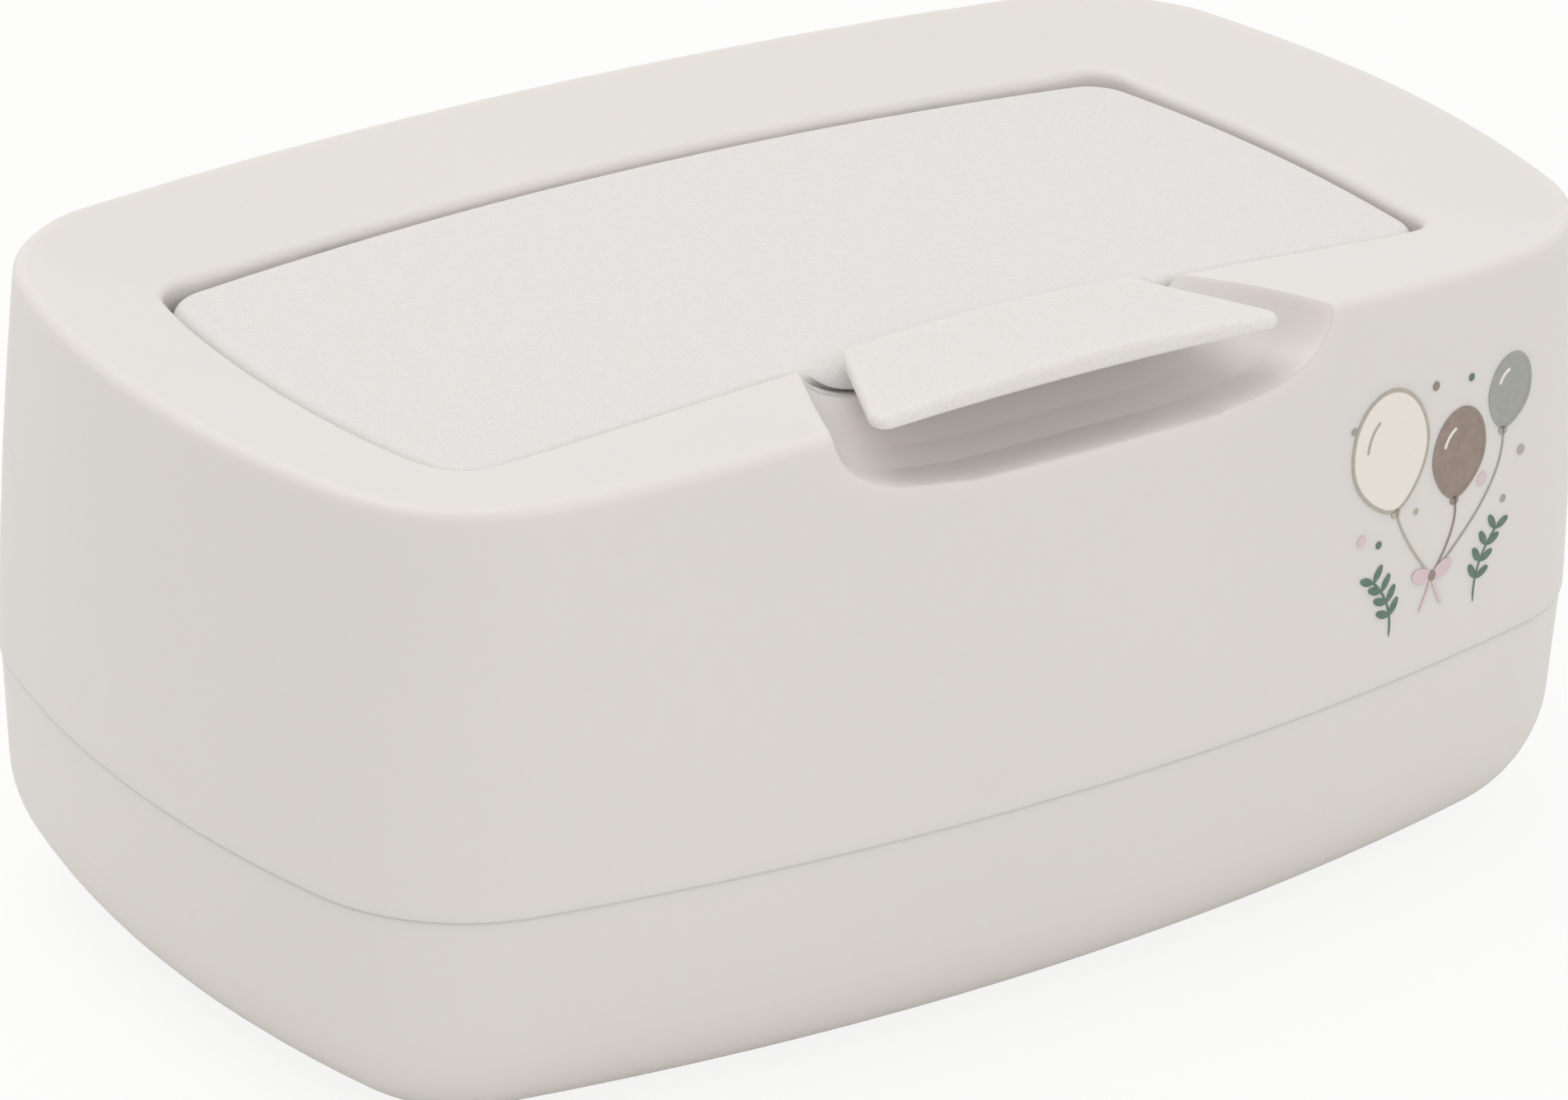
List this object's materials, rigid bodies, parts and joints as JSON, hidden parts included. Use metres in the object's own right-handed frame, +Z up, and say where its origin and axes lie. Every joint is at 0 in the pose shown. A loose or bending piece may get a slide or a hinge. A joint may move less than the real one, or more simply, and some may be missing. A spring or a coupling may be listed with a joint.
{
  "type": "wipes box",
  "caption": "Rounded box for moist wipes: a shallow tub, a tall lift-off casing with a dished rim, and a hinged lid with a lift tab over a finger scoop.",
  "frame": {"origin": "middle of the flat face that the four pads stand on", "axes": "+Z up, +X along the length towards the right end, -Y towards the front, where the lift tab and the finger scoop are"},
  "size_m": [0.224, 0.1416, 0.1007],
  "materials": {
    "casing": "satin moulded polypropylene, off-white",
    "lid": "fine spark-eroded matte grain, off-white",
    "steel": "drawn stainless pin",
    "seal": "translucent white silicone",
    "pad": "soft grey elastomer"
  },
  "bodies": {
    "tub": {"base_tub": "casing", "foot_pad_front_left": "pad", "foot_pad_front_right": "pad", "foot_pad_rear_left": "pad", "foot_pad_rear_right": "pad"},
    "casing": {"upper_casing": "casing", "hinge_pin_left": "steel", "hinge_pin_right": "steel"},
    "lid": {"flip_lid": "lid", "lift_tab": "lid", "lid_seal": "seal"}
  },
  "joints": [
    {"name": "casing_lift", "type": "slide", "parent": "tub", "child": "casing", "axis": [0, 0, 1], "range_m": [0, 0.05]},
    {"name": "lid_hinge", "type": "hinge", "parent": "casing", "child": "lid", "pos_m": [0, 0.0545, 0.087], "axis": [-1, 0, 0], "range_deg": [0, 105]}
  ]
}
